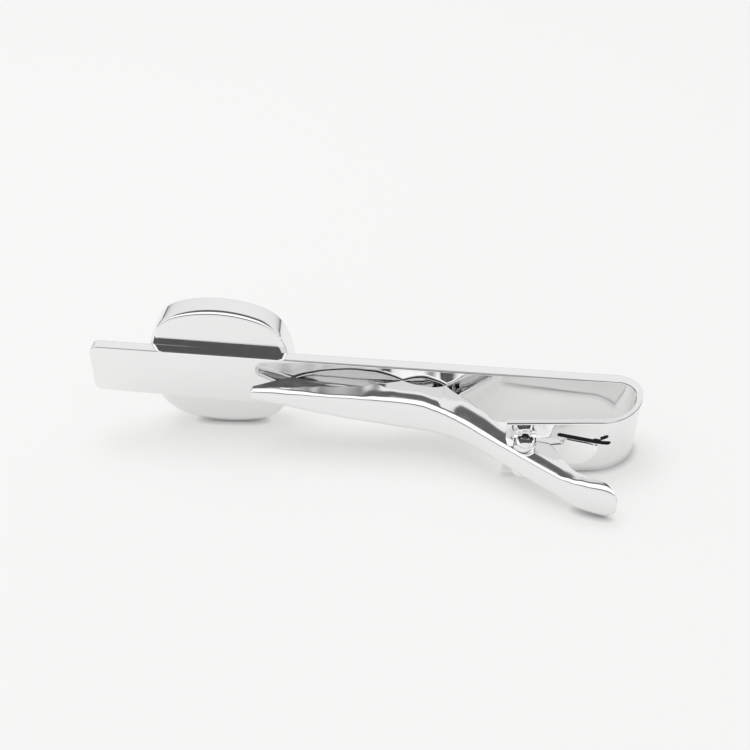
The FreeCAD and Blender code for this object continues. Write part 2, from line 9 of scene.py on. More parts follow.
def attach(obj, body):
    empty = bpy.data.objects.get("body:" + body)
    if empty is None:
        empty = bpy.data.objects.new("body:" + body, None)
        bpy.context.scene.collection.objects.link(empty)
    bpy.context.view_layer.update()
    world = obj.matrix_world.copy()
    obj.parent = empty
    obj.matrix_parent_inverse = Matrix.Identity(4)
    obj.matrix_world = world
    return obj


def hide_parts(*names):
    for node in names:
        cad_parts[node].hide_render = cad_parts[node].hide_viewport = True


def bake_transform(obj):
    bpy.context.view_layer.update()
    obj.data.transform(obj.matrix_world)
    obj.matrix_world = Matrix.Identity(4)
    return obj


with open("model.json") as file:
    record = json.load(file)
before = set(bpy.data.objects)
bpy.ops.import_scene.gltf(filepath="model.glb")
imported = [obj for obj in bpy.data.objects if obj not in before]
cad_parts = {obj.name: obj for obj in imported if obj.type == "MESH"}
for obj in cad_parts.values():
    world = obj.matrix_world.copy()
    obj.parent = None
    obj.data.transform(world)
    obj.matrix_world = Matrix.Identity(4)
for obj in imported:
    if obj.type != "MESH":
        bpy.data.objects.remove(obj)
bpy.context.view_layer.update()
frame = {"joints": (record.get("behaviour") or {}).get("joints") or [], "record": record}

MM = 0.001
QUARTER = math.pi / 2

# The clip's own axes, read from its record: along the bar, towards the front, along the hinge pin
PIN_X, PIN_Y = 32.0, -7.775
hinge = frame["joints"][0]
tray = next(mount for mount in frame["record"]["mounts"] if mount["name"] == "tray_floor")
ACROSS = Vector(hinge["axis"]).normalized()
FRONT = Vector(tray["axis"]).normalized()
ALONG = FRONT.cross(ACROSS).normalized()
ORIGIN = Vector(hinge["pos_m"]) - (ALONG * PIN_X + FRONT * PIN_Y) * MM

# The camera, fitted to the photograph in the clip's own axes, in degrees and millimetres
CAMERA_TURN = 4.43
CAMERA_RISE = 42.53
CAMERA_ROLL = 1.42
CAMERA_SHIFT = (16.33, 0.33)
CAMERA_DISTANCE = 137.3
FOCAL_PIXELS = 1300
IMAGE_PIXELS = 750
SENSOR_MM = 36.0
NEAREST, FARTHEST = 0.01, 20


def clip_direction(x, y, z):
    """A direction in the clip's axes, as one in the row's frame."""
    return ALONG * x + FRONT * y + ACROSS * z


def clip_point(x, y, z):
    """A place in the clip's axes and millimetres, as one in the row's frame and metres."""
    return ORIGIN + clip_direction(x, y, z) * MM


def camera_axes():
    """Right, up and forward of the camera in the row's frame."""
    turn, rise, roll = (math.radians(angle) for angle in (CAMERA_TURN, CAMERA_RISE, CAMERA_ROLL))
    sideways, onwards = -math.sin(turn) * math.cos(rise), math.cos(turn) * math.cos(rise)
    forward = clip_direction(sideways, onwards, -math.sin(rise))
    level = clip_direction(math.cos(turn), math.sin(turn), 0)
    upright = level.cross(forward)
    right = level * math.cos(roll) + upright * math.sin(roll)
    up = upright * math.cos(roll) - level * math.sin(roll)
    return right, up, forward


def make_camera():
    """The camera that the photograph was taken with."""
    right, up, forward = camera_axes()
    place = right * CAMERA_SHIFT[0] + up * CAMERA_SHIFT[1] - forward * CAMERA_DISTANCE
    data = bpy.data.cameras.new("camera")
    data.sensor_width = SENSOR_MM
    data.lens = SENSOR_MM * FOCAL_PIXELS / IMAGE_PIXELS
    data.clip_start = NEAREST
    data.clip_end = FARTHEST
    camera = bpy.data.objects.new("camera", data)
    turn = Matrix((right, up, -forward)).transposed().to_4x4()
    camera.matrix_world = Matrix.Translation(ORIGIN + place * MM) @ turn
    bpy.context.scene.collection.objects.link(camera)
    bpy.context.scene.camera = camera


class Nodes:
    """A short way to write node trees."""

    def __init__(self, tree):
        self.tree = tree
        tree.nodes.clear()

    def add(self, kind, **inputs):
        """A node with values or other nodes' outputs on its inputs."""
        node = self.tree.nodes.new(kind)
        for name, value in inputs.items():
            self.set(node, name.replace("_", " "), value)
        return node

    def set(self, node, name, value):
        """Put a value or another node's output on an input, given by its name or number."""
        socket = node.inputs[int(name) if name.isdigit() else name]
        if isinstance(value, bpy.types.NodeSocket):
            self.tree.links.new(value, socket)
        else:
            socket.default_value = value

    def math(self, operation, first, second=0.0):
        """The result of a sum on two values."""
        node = self.tree.nodes.new("ShaderNodeMath")
        node.operation = operation
        self.set(node, "0", first)
        self.set(node, "1", second)
        return node.outputs[0]

    def blend(self, first, second, share):
        """The first value where the share is 0, the second where it is 1."""
        kept = self.math("MULTIPLY", first, self.math("SUBTRACT", 1.0, share))
        return self.math("ADD", kept, self.math("MULTIPLY", share, second))

    def along(self, vector, direction):
        """How far a vector reaches along a fixed direction."""
        node = self.tree.nodes.new("ShaderNodeVectorMath")
        node.operation = "DOT_PRODUCT"
        self.tree.links.new(vector, node.inputs[0])
        node.inputs[1].default_value = direction
        return node.outputs["Value"]

    def ramp(self, value, low, high, out_low, out_high):
        """A value spread smoothly from one range to another."""
        node = self.tree.nodes.new("ShaderNodeMapRange")
        node.interpolation_type = "SMOOTHSTEP"
        node.inputs["From Min"].default_value = low
        node.inputs["From Max"].default_value = high
        node.inputs["To Min"].default_value = out_low
        node.inputs["To Max"].default_value = out_high
        self.set(node, "Value", value)
        return node.outputs["Result"]


# Lightness of the room that polished metal mirrors, by degrees from behind the clip over the top
ROOM_BANDS = [
    (0, 0.22),
    (4, 0.25),
    (9, 0.62),
    (20, 0.82),
    (54, 0.92),
    (60, 0.14),
    (75, 0.12),
    (80, 1.25),
    (136, 1.2),
    (140, 0.1),
    (150, 0.1),
    (153, 0.86),
    (180, 0.9),
]
HALF_TURN = 180
# The room's even light on matt things
ROOM_LIGHT = 0.66
# The even room that deep reflections see, and the ray depth that they start from
DEEP_LIGHT, DEEP_FROM = 0.85, 3.5


def make_world():
    """A white room with a light overhead and darkness beside it, which only polished metal shows."""
    world = bpy.data.worlds.new("white_room")
    bpy.context.scene.world = world
    world.use_nodes = True
    nodes = Nodes(world.node_tree)
    _, _, forward = camera_axes()
    behind = Vector((forward.x, forward.y, 0)).normalized()
    ray = nodes.add("ShaderNodeTexCoord").outputs["Generated"]
    angle = nodes.math("ARCTAN2", nodes.along(ray, (0, 0, 1)), nodes.along(ray, behind))
    bands = room_bands(nodes, nodes.math("DIVIDE", angle, math.pi))
    path = nodes.add("ShaderNodeLightPath")
    deep = nodes.math("GREATER_THAN", path.outputs["Ray Depth"], DEEP_FROM)
    mirrored = nodes.blend(bands, DEEP_LIGHT, deep)
    seen = nodes.math("MAXIMUM", path.outputs["Is Glossy Ray"], path.outputs["Is Transmission Ray"])
    direct = path.outputs["Is Camera Ray"]
    rest = nodes.math("SUBTRACT", 1.0, nodes.math("MAXIMUM", seen, direct))
    strength = nodes.math("ADD", nodes.math("MULTIPLY", mirrored, seen), direct)
    strength = nodes.math("ADD", strength, nodes.math("MULTIPLY", rest, ROOM_LIGHT))
    light = nodes.add("ShaderNodeBackground", Color=(1, 1, 1, 1), Strength=strength)
    nodes.add("ShaderNodeOutputWorld", Surface=light.outputs[0])


def room_bands(nodes, half_turns):
    """Lightness of the room at an angle in half turns; brighter than white is kept by a scale."""
    peak = max(lightness for _, lightness in ROOM_BANDS)
    node = nodes.add("ShaderNodeValToRGB", Fac=half_turns)
    elements = node.color_ramp.elements
    while len(elements) < len(ROOM_BANDS):
        elements.new(0.5)
    for element, (degrees, lightness) in zip(elements, ROOM_BANDS):
        element.position = degrees / HALF_TURN
        element.color = (lightness / peak, lightness / peak, lightness / peak, 1)
    return nodes.math("MULTIPLY", node.outputs["Color"], peak)


# The soft lamp over the clip, in metres and watts
LAMP_PLACE = (-0.1, 0.05, 0.5)
LAMP_SIZE = (0.5, 0.4)
LAMP_WATTS = 1.25


def make_lamp():
    """A soft lamp that polished metal doesn't mirror, because the room's bands already show it."""
    data = bpy.data.lights.new("top_light", "AREA")
    data.shape = "RECTANGLE"
    data.size, data.size_y = LAMP_SIZE
    data.energy = LAMP_WATTS
    lamp = bpy.data.objects.new("top_light", data)
    lamp.location = LAMP_PLACE
    lamp.rotation_euler = (-Vector(LAMP_PLACE)).to_track_quat("-Z", "Y").to_euler()
    lamp.visible_glossy = False
    bpy.context.scene.collection.objects.link(lamp)


# The floor, half lit by the lamp and half pale by itself, as on a lit table
FLOOR_HALF = 3.0
FLOOR_OWN = 0.5
FLOOR_TONE = 0.98
# The own light is warm and the lit part cool, so the floor turns warmer where it is shaded: a painted warm
# tint in its shadows
FLOOR_WARM = (0.925, 0.92, 0.895, 1)
FLOOR_COOL = (0.925, 0.925, 0.94, 1)
FLOOR_ROUGHNESS, FLOOR_GLOSS = 0.85, 0.1
# How far from what stands on it the floor's own light is darkened, as painted contact shade
PAINTED_SHADE_REACH = 0.8 * MM


def make_floor():
    """A pale, matt floor that fills the view."""
    corners = [(-1, -1), (1, -1), (1, 1), (-1, 1)]
    mesh = bpy.data.meshes.new("floor")
    mesh.from_pydata([(x * FLOOR_HALF, y * FLOOR_HALF, 0) for x, y in corners], [], [(0, 1, 2, 3)])
    floor = bpy.data.objects.new("floor", mesh)
    bpy.context.scene.collection.objects.link(floor)
    mesh.materials.append(floor_material())


def new_material(name):
    """An empty material and its nodes."""
    material = bpy.data.materials.new(name)
    material.use_nodes = True
    return material, Nodes(material.node_tree)


def floor_material():
    """A matt floor that what stands on it shades; near it, the floor's own light is darkened as painted
    contact shade.
    """
    material, nodes = new_material("pale_floor")
    surface = nodes.add("ShaderNodeBsdfPrincipled", Base_Color=FLOOR_COOL, Roughness=FLOOR_ROUGHNESS)
    surface.inputs["Specular IOR Level"].default_value = FLOOR_GLOSS
    # Painted contact shade: ambient occlusion darkens the floor's own light close to the clip
    painted_contact_shade = nodes.add("ShaderNodeAmbientOcclusion", Distance=PAINTED_SHADE_REACH)
    tone = nodes.math("MULTIPLY", painted_contact_shade.outputs["AO"], FLOOR_TONE)
    own = nodes.add("ShaderNodeEmission", Color=FLOOR_WARM, Strength=tone)
    path = nodes.add("ShaderNodeLightPath")
    seen = nodes.math("MAXIMUM", path.outputs["Is Camera Ray"], path.outputs["Is Glossy Ray"])
    seen = nodes.math("MAXIMUM", seen, path.outputs["Is Transmission Ray"])
    mix = nodes.add("ShaderNodeMixShader", Fac=nodes.math("MULTIPLY", seen, FLOOR_OWN))
    nodes.set(mix, "1", surface.outputs[0])
    nodes.set(mix, "2", own.outputs[0])
    nodes.add("ShaderNodeOutputMaterial", Surface=mix.outputs[0])
    return material


# Colours of the metals, and the near-black painted shade inside cuts and the rivet's bore
PLATE = (0.885, 0.885, 0.885, 1)
STRIP = (0.99, 0.99, 0.99, 1)
PAINTED_SHADE_BLACK = (0.035, 0.033, 0.032, 1)
# Polished finishes: colour, roughness, strength of the ripple and its scale
FINISHES = {
    "medallion_metal": (PLATE, 0.06, 0.03, 140.0),
    "bar_metal": (PLATE, 0.05, 0.045, 160.0),
    "rivet_metal": (PLATE, 0.1, 0.1, 900.0),
    "spring_metal": (STRIP, 0.18, 0.03, 500.0),
    "lever_metal": (PLATE, 0.09, 0.05, 220.0),
}
SWIRL_SCALE, GRAIN_SCALE = 900.0, 9000.0
GLOSS_LEAST, GLOSS_MOST = 0.6, 1.5
RIPPLE_DEPTH = 0.2 * MM


def polished_metal(name):
    """Plated metal with a mirror polish: faint swirls in its gloss and a slow ripple in its surface."""
    colour, roughness, ripple, ripple_scale = FINISHES[name]
    material, nodes = new_material(name)
    place = nodes.add("ShaderNodeTexCoord").outputs["Object"]
    swirl = nodes.add("ShaderNodeTexNoise", Vector=place, Scale=SWIRL_SCALE, Detail=4.0, Roughness=0.6)
    gloss = nodes.ramp(swirl.outputs["Fac"], low=0.3, high=0.75,
                       out_low=roughness * GLOSS_LEAST, out_high=roughness * GLOSS_MOST)
    slow = nodes.add("ShaderNodeTexNoise", Vector=place, Scale=ripple_scale, Detail=2.0, Roughness=0.45)
    bump = nodes.add("ShaderNodeBump", Strength=ripple, Distance=RIPPLE_DEPTH, Height=slow.outputs["Fac"])
    metal = nodes.add("ShaderNodeBsdfPrincipled", Base_Color=colour, Metallic=1.0, Roughness=gloss)
    nodes.set(metal, "Normal", bump.outputs[0])
    nodes.add("ShaderNodeOutputMaterial", Surface=metal.outputs[0])
    return material


def painted_shade_metal():
    """Painted shade: dull metal, near black, on the walls of the leg's cuts and in the rivet's bore,
    standing in for the shade inside them.
    """
    material, nodes = new_material("painted_shade_metal")
    place = nodes.add("ShaderNodeTexCoord").outputs["Object"]
    grain = nodes.add("ShaderNodeTexNoise", Vector=place, Scale=GRAIN_SCALE, Detail=3.0)
    dull = nodes.ramp(grain.outputs["Fac"], low=0.3, high=0.7, out_low=0.4, out_high=0.7)
    # The near-black colour here is painted shade, not the metal's own colour
    metal = nodes.add("ShaderNodeBsdfPrincipled", Base_Color=PAINTED_SHADE_BLACK, Metallic=0.8, Roughness=dull)
    nodes.add("ShaderNodeOutputMaterial", Surface=metal.outputs[0])
    return material


def paint(piece, material, chosen):
    """Give the faces that a test picks, by their place in the clip's axes, a second material."""
    piece.data.materials.append(material)
    for face in piece.data.polygons:
        way = (face.center - ORIGIN) / MM
        if chosen(way.dot(ALONG), way.dot(FRONT), way.dot(ACROSS)):
            face.material_index = 1


# Angle from which an edge is sharp; less on a piece with cuts, whose flat faces keep their own normals
SHARP, CUT_SHARP = math.radians(50), math.radians(13)
# What is merged after a cut: points closer than this in millimetres, faces flatter than this
SLIVER, FLAT = 0.004, math.radians(0.15)


def new_piece(name, skin, material, body, replaced=(), cutters=()):
    """A mesh piece from a skin in the clip's axes, less its cutters, on a body if one is named."""
    piece = new_mesh(name, skin, material)
    for cutter in cutters:
        cut(piece, cutter)
    smooth(piece, CUT_SHARP if cutters else SHARP)
    if body:
        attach(piece, body)
    if replaced:
        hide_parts(*replaced)
    return piece


def new_mesh(name, skin, material):
    """A mesh object from a skin in the clip's axes, with its faces turned outwards."""
    points, faces = skin
    mesh = bpy.data.meshes.new(name)
    mesh.from_pydata([clip_point(*point) for point in points], [], faces)
    mesh.validate()
    mesh.materials.append(material)
    work = bmesh.new()
    work.from_mesh(mesh)
    bmesh.ops.recalc_face_normals(work, faces=work.faces)
    work.to_mesh(mesh)
    work.free()
    piece = bpy.data.objects.new(name, mesh)
    bpy.context.scene.collection.objects.link(piece)
    return piece


def smooth(piece, sharp):
    """Smooth shading that keeps flat faces flat and edges sharp from an angle on."""
    piece.data.shade_smooth()
    piece.data.set_sharp_from_angle(angle=sharp)
    weighted = piece.modifiers.new("flat_faces", "WEIGHTED_NORMAL")
    weighted.keep_sharp = True


def cut(piece, cutter):
    """Take a solid out of a piece, worked in millimetres; the walls get the solid's material."""
    for item in (piece, cutter):
        item.data.transform(Matrix.Scale(1 / MM, 4))
    difference = piece.modifiers.new("cut", "BOOLEAN")
    difference.operation = "DIFFERENCE"
    difference.solver = "MANIFOLD"
    difference.material_mode = "TRANSFER"
    difference.object = cutter
    ready = piece.evaluated_get(bpy.context.evaluated_depsgraph_get())
    piece.data = bpy.data.meshes.new_from_object(ready)
    piece.modifiers.clear()
    clear_slivers(piece.data)
    piece.data.transform(Matrix.Scale(MM, 4))
    bpy.data.objects.remove(cutter)


def clear_slivers(mesh):
    """Merge the nearly equal points that a cut leaves, and the flat faces it splits."""
    work = bmesh.new()
    work.from_mesh(mesh)
    bmesh.ops.remove_doubles(work, verts=work.verts, dist=SLIVER)
    bmesh.ops.dissolve_degenerate(work, edges=work.edges, dist=SLIVER)
    bmesh.ops.dissolve_limit(work, angle_limit=FLAT, verts=work.verts, edges=work.edges,
                             delimit={"MATERIAL"})
    work.to_mesh(mesh)
    work.free()


def loft(rings):
    """Points and faces of a closed skin over equal rings of points."""
    points = [point for ring in rings for point in ring]
    size = len(rings[0])
    faces = [tuple(range(size)), tuple(range(len(points) - size, len(points)))]
    for start in range(0, len(points) - size, size):
        for index in range(size):
            here, following = start + index, start + (index + 1) % size
            faces.append((here, here + size, following + size, following))
    return points, faces


def join(*skins):
    """Several closed skins as one list of points and one of faces."""
    points, faces = [], []
    for some_points, some_faces in skins:
        faces += [tuple(index + len(points) for index in face) for face in some_faces]
        points += some_points
    return points, faces


def arc(centre, radius, start, stop, steps):
    """Points on an arc between two angles in radians, less its first one."""
    turns = [start + (stop - start) * step / steps for step in range(1, steps + 1)]
    return [(centre[0] + radius * math.cos(turn), centre[1] + radius * math.sin(turn)) for turn in turns]


def between(one, two, steps):
    """Points on a straight line, less its first one."""
    shares = [step / steps for step in range(1, steps + 1)]
    return [tuple(a + (b - a) * share for a, b in zip(one, two)) for share in shares]


def smooth_step(start, stop, x):
    """0 before the start, 1 after the stop and a smooth rise in between."""
    share = min(max((x - start) / (stop - start), 0.0), 1.0)
    return share * share * (3 - 2 * share)


def rounded_end(x, end, corner):
    """How much an end's round corner takes off at x."""
    inside = min(abs(x - end), corner)
    return corner - math.sqrt(corner * corner - (corner - inside) ** 2)


# A polished edge: its tight round and the soft fall beside it, in millimetres, and that fall's slope
EDGE_TIGHT, EDGE_SOFT, EDGE_FALL = 0.04, 0.22, math.radians(12)
TIGHT_STEPS, SOFT_STEPS = 5, 6


def edge_profile():
    """A polished edge as (distance from the face, distance below the side)."""
    drop = math.tan(EDGE_FALL) * EDGE_SOFT / 2
    turns = [(QUARTER - EDGE_FALL) * step / TIGHT_STEPS for step in range(TIGHT_STEPS + 1)]
    edge = [(EDGE_TIGHT * (1 - math.cos(turn)), drop + EDGE_TIGHT * (1 - math.sin(turn))) for turn in turns]
    reach = EDGE_TIGHT + EDGE_SOFT
    for step in range(1, SOFT_STEPS + 1):
        spot = EDGE_TIGHT + EDGE_SOFT * step / SOFT_STEPS
        edge.append((spot, drop * ((reach - spot) / EDGE_SOFT) ** 2))
    return edge


def strip_ring(outer, inner, low, high, outer_wear, inner_wear):
    """A strip's section with worn edges, between its two sides and its lower and upper edge."""
    thickness = math.dist(outer, inner)
    way = [(a - b) / thickness for a, b in zip(outer, inner)]
    far = [(thickness - a * outer_wear, b * outer_wear) for a, b in edge_profile()]
    near = [(a * inner_wear, b * inner_wear) for a, b in reversed(edge_profile())]
    top = [(depth, high - drop) for depth, drop in far + near]
    section = top + [(depth, low + high - z) for depth, z in reversed(top)]
    return [(inner[0] + way[0] * depth, inner[1] + way[1] * depth, z) for depth, z in section]


# The bar's strip, with the sizes of the part's source in millimetres and degrees
TAIL_X, BOW_X, REACH, LEG_END = -13.8, 19.0, 43.78, 30.1
TAIL_HALF, BEND_HALF = 2.975, 3.4
BAR_THICK, LEG_THICK = 1.2, 0.7
FRONT_RADIUS, BACK_RADIUS = 2.4, 5.05
BOW_ANGLE, LEG_ANGLE = math.radians(1.55), math.radians(6.7)
TAIL_CORNER, TAIL_ROUND = 0.9, 0.15
TAIL_STATIONS = range(-10, 16, 5)
TAIL_STEPS, BOW_STEPS, FRONT_STEPS, BACK_STEPS, LEG_STEPS = 12, 12, 28, 36, 12

# Its bow and bend, worked out from these
BOW_END = REACH - FRONT_RADIUS * (1 + math.sin(BOW_ANGLE))
BOW_RADIUS = (BOW_END - BOW_X) / math.sin(BOW_ANGLE)
BOW_CENTRE = (BOW_X, BAR_THICK + BOW_RADIUS)
TURN_Y = BAR_THICK + BOW_RADIUS * (1 - math.cos(BOW_ANGLE)) - FRONT_RADIUS * math.cos(BOW_ANGLE)
NECK_X = BOW_END + BAR_THICK * math.sin(BOW_ANGLE)
INNER_REACH = REACH - LEG_THICK
INNER_FRONT = (INNER_REACH - NECK_X) / (1 + math.sin(BOW_ANGLE))
INNER_TURN_Y = TURN_Y + (FRONT_RADIUS - BAR_THICK - INNER_FRONT) * math.cos(BOW_ANGLE)
LEG_SHARE = math.cos(LEG_ANGLE) / (1 - math.sin(LEG_ANGLE))
INNER_BACK = BACK_RADIUS - LEG_THICK + LEG_SHARE * (INNER_TURN_Y - TURN_Y)
LEG_ROOT_X = REACH - BACK_RADIUS * (1 - math.sin(LEG_ANGLE))
LEG_ROOT_Y = TURN_Y - BACK_RADIUS * math.cos(LEG_ANGLE)

# How much its edges are worn: at the front, at the back, and where the leg's outer edges change
FRONT_WEAR, BACK_WEAR = 0.3, 0.6
WEAR_FROM, WEAR_TO = LEG_ROOT_X + 1, LEG_ROOT_X - 1.5


def leg_outside(x):
    """Height of the leg's outer face at x."""
    return LEG_ROOT_Y - (LEG_ROOT_X - x) * math.tan(LEG_ANGLE)


def strip_half(x):
    """Half the strip's width at x, less its round corners at the tail."""
    widening = (BEND_HALF - TAIL_HALF) / (REACH - TAIL_X)
    return TAIL_HALF + (x - TAIL_X) * widening - rounded_end(x, TAIL_X, TAIL_CORNER)


def tail_stations():
    """Places along the straight bar, close together at its round corners."""
    turns = [QUARTER * step / TAIL_STEPS for step in range(TAIL_STEPS + 1)]
    return [TAIL_X + TAIL_CORNER * (1 - math.cos(turn)) for turn in turns] + [*TAIL_STATIONS, BOW_X]


def strip_outside():
    """The strip's outer side seen along the pin, from its tail to the end of its leg."""
    line = [(x, BAR_THICK - rounded_end(x, TAIL_X, TAIL_ROUND)) for x in tail_stations()]
    line += arc(BOW_CENTRE, BOW_RADIUS, -QUARTER, BOW_ANGLE - QUARTER, BOW_STEPS)
    line += arc((REACH - FRONT_RADIUS, TURN_Y), FRONT_RADIUS, QUARTER + BOW_ANGLE, 0, FRONT_STEPS)
    line += arc((REACH - BACK_RADIUS, TURN_Y), BACK_RADIUS, 0, LEG_ANGLE - QUARTER, BACK_STEPS)
    return line + between(line[-1], (LEG_END, leg_outside(LEG_END)), LEG_STEPS)


def strip_inside():
    """The strip's inner side, point by point opposite its outer one."""
    front_centre = (INNER_REACH - INNER_FRONT, INNER_TURN_Y)
    back_centre = (INNER_REACH - INNER_BACK, INNER_TURN_Y)
    line = [(x, rounded_end(x, TAIL_X, TAIL_ROUND)) for x in tail_stations()]
    line += arc(BOW_CENTRE, BOW_RADIUS + BAR_THICK, -QUARTER, BOW_ANGLE - QUARTER, BOW_STEPS)
    line += arc(front_centre, INNER_FRONT, QUARTER + BOW_ANGLE, 0, FRONT_STEPS)
    line += arc(back_centre, INNER_BACK, 0, LEG_ANGLE - QUARTER, BACK_STEPS)
    tip_x = LEG_END - LEG_THICK * math.sin(LEG_ANGLE)
    tip_y = leg_outside(LEG_END) + LEG_THICK * math.cos(LEG_ANGLE)
    return line + between(line[-1], (tip_x, tip_y), LEG_STEPS)


def outer_wear(x, y):
    """How much the strip's outer edges are worn: little along its front, more along its leg."""
    if y >= LEG_ROOT_Y / 2:
        return FRONT_WEAR
    return FRONT_WEAR + (1 - FRONT_WEAR) * smooth_step(WEAR_FROM, WEAR_TO, x)


# The cuts in the leg: right end x and z, length, slant in degrees and half width
LEG_CUTS = [
    (40.45, 0.55, 5.2, 15.0, 0.25),
    (40.1, 1.5, 1.2, -21.0, 0.25),
    (34.55, 0.0, 8.0, 0.0, 1.45),
]
CUT_FROM_Y, CUT_TO_Y = -11.0, -3.0
CUT_STEPS = 14


def cut_skin(x, z, length, slant, half):
    """A bar with round ends that a slot is cut with, through the leg."""
    turn = math.radians(-slant)
    left = (x - length * math.cos(turn), z - length * math.sin(turn))
    outline = arc((x, z), half, turn - QUARTER, turn + QUARTER, CUT_STEPS)
    outline += arc(left, half, turn + QUARTER, turn + 3 * QUARTER, CUT_STEPS)
    return loft([[(u, y, v) for u, v in outline] for y in (CUT_FROM_Y, CUT_TO_Y)])


# The ears that hold the pin: plates bent out of the leg, with (height, inset) of their rounded edges
EAR_INSIDE, EAR_OUTSIDE = 1.45, 2.0
EAR_RADIUS = 1.15
EAR_LEVELS = [(0.0, 0.09), (0.04, 0.02), (0.1, 0.0), (0.45, 0.0), (0.51, 0.02), (0.55, 0.09)]
EAR_STEPS = 24
EAR_BEND, EAR_BEND_INSET, EAR_OVERLAP = 0.5, 0.05, 0.1
EAR_BEND_STEPS, EAR_BEND_RINGS = 10, 12


def ear_skin(side):
    """One ear, with slightly rounded edges."""
    rings = []
    for level, inset in EAR_LEVELS:
        radius = EAR_RADIUS - inset
        outline = [(PIN_X - radius, leg_outside(PIN_X - radius) + LEG_THICK / 2)]
        outline.append((PIN_X - radius, PIN_Y))
        outline += arc((PIN_X, PIN_Y), radius, 2 * QUARTER, 4 * QUARTER, EAR_STEPS)
        outline.append((PIN_X + radius, leg_outside(PIN_X + radius) + LEG_THICK / 2))
        rings.append([(x, y, side * (EAR_INSIDE + level)) for x, y in outline])
    return loft(rings)


def ear_bend_skin(side):
    """The round bend between an ear and the leg's face."""
    rings = []
    for step in range(EAR_BEND_RINGS + 1):
        x = PIN_X + (EAR_RADIUS - EAR_BEND_INSET) * (2 * step / EAR_BEND_RINGS - 1)
        face = leg_outside(x)
        root = face + LEG_THICK / 3
        ring = [(face - EAR_BEND, EAR_OUTSIDE)]
        ring += arc((face - EAR_BEND, EAR_OUTSIDE + EAR_BEND), EAR_BEND, -QUARTER, 0, EAR_BEND_STEPS)
        ring += [(root, EAR_OUTSIDE + EAR_BEND), (root, EAR_OUTSIDE - EAR_OVERLAP)]
        rings.append([(x, y, side * z) for y, z in ring])
    return loft(rings)


def make_bar(material):
    """The bar: a strip swept round its bend, with the cuts in its leg and the two ears."""
    rings = []
    for outer, inner in zip(strip_outside(), strip_inside()):
        half = strip_half(min(outer[0], inner[0]))
        rings.append(strip_ring(outer, inner, -half, half, outer_wear(*outer), BACK_WEAR))
    # The cuts' walls get the near-black painted shade
    walls = painted_shade_metal()
    cutters = [new_mesh("leg_cutter", cut_skin(*sizes), walls) for sizes in LEG_CUTS]
    new_piece("bar_strip", loft(rings), material, "clip", ["front_bar"], cutters)
    ears = join(*(skin(side) for side in (1, -1) for skin in (ear_skin, ear_bend_skin)))
    new_piece("hinge_ears", ears, material, "clip")


# The medallion: a cushion with bowed sides and round corners, with the sizes of the part's source
MEDAL_HALF, MEDAL_GAIN, MEDAL_CORNER = 7.75, 0.62, 4.65
MEDAL_THICK, MEDAL_SHIFT = 2.8, 0.22
MEDAL_ROUND, MEDAL_RIM = 0.2, 0.9
TRAY_FLOOR, TRAY_LIP = MEDAL_THICK / 2, 0.04
CUSHION_STEPS, ROUND_STEPS = 24, 6
CORNER_CENTRE = (MEDAL_HALF + MEDAL_GAIN - MEDAL_CORNER) / math.sqrt(2)
CORNER_DEPTH = MEDAL_HALF - MEDAL_CORNER
SIDE_CENTRE = (2 * CORNER_CENTRE**2 - CORNER_DEPTH**2) / (2 * (CORNER_DEPTH - CORNER_CENTRE))
SIDE_RADIUS = MEDAL_HALF + SIDE_CENTRE
# Its worn back edge: distance in from the rim and distance from the back face
MEDAL_BACK = [
    (0.76, 0.0),
    (0.61, 0.008),
    (0.46, 0.03),
    (0.34, 0.065),
    (0.24, 0.115),
    (0.13, 0.225),
    (0.09, 0.275),
    (0.065, 0.33),
    (0.05, 0.38),
    (0.035, 0.45),
    (0.02, 0.53),
    (0.005, 0.64),
    (0.0, 0.72),
]
# The tray in its front: distance in from the inside of its rim and distance from the back face
MEDAL_TRAY = [
    (0, MEDAL_THICK),
    (TRAY_LIP, MEDAL_THICK - TRAY_LIP),
    (TRAY_LIP, TRAY_FLOOR + TRAY_LIP),
    (3 * TRAY_LIP, TRAY_FLOOR),
]


def cushion_ring(inset, y):
    """The medallion's outline, smaller by an inset, at a distance y from its back face."""
    spread = math.atan2(CORNER_CENTRE, CORNER_CENTRE + SIDE_CENTRE)
    corner = (CORNER_CENTRE, CORNER_CENTRE)
    side = arc((-SIDE_CENTRE, 0), SIDE_RADIUS - inset, -spread, spread, CUSHION_STEPS)
    side += arc(corner, MEDAL_CORNER - inset, spread, QUARTER - spread, CUSHION_STEPS)
    ring = []
    for _ in range(4):
        ring += [(u - MEDAL_SHIFT, BAR_THICK + y, v) for u, v in side]
        side = [(-v, u) for u, v in side]
    return ring


def make_medallion(material):
    """The medallion: polished back edge, rounded front edge and a tray in its front."""
    rings = [cushion_ring(inset, y) for inset, y in MEDAL_BACK]
    for step in range(ROUND_STEPS + 1):
        turn = QUARTER * step / ROUND_STEPS
        inset = MEDAL_ROUND * (1 - math.cos(turn))
        rings.append(cushion_ring(inset, MEDAL_THICK - MEDAL_ROUND * (1 - math.sin(turn))))
    rings += [cushion_ring(MEDAL_RIM + inset, y) for inset, y in MEDAL_TRAY]
    new_piece("medallion_plate", loft(rings), material, "clip", ["medallion"])


# The rivet: radius and height of its section, from the middle of its length to the floor of its bore
RIVET = [
    (0.45, 0.0),
    (0.45, 1.9),
    (0.9, 2.0),
    (0.95, 2.08),
    (0.95, 2.2),
    (0.91, 2.34),
    (0.82, 2.43),
    (0.74, 2.44),
    (0.7, 2.38),
    (0.66, 2.22),
    (0.62, 2.0),
    (0.58, 1.7),
    (0.3, 1.62),
    (0.02, 1.6),
]
RIVET_STEPS = 64
BORE_REACH, BORE_FROM = 0.7, 1.3
# The petals of its lip: how deep it dips between them, over which heights, and how far the bore widens there
PETALS, PETAL_DIP = 4, 0.16
PETALS_FROM, PETALS_TO = 2.1, 2.4
PETAL_SPREAD, SPREAD_REACH = 0.4, 0.78


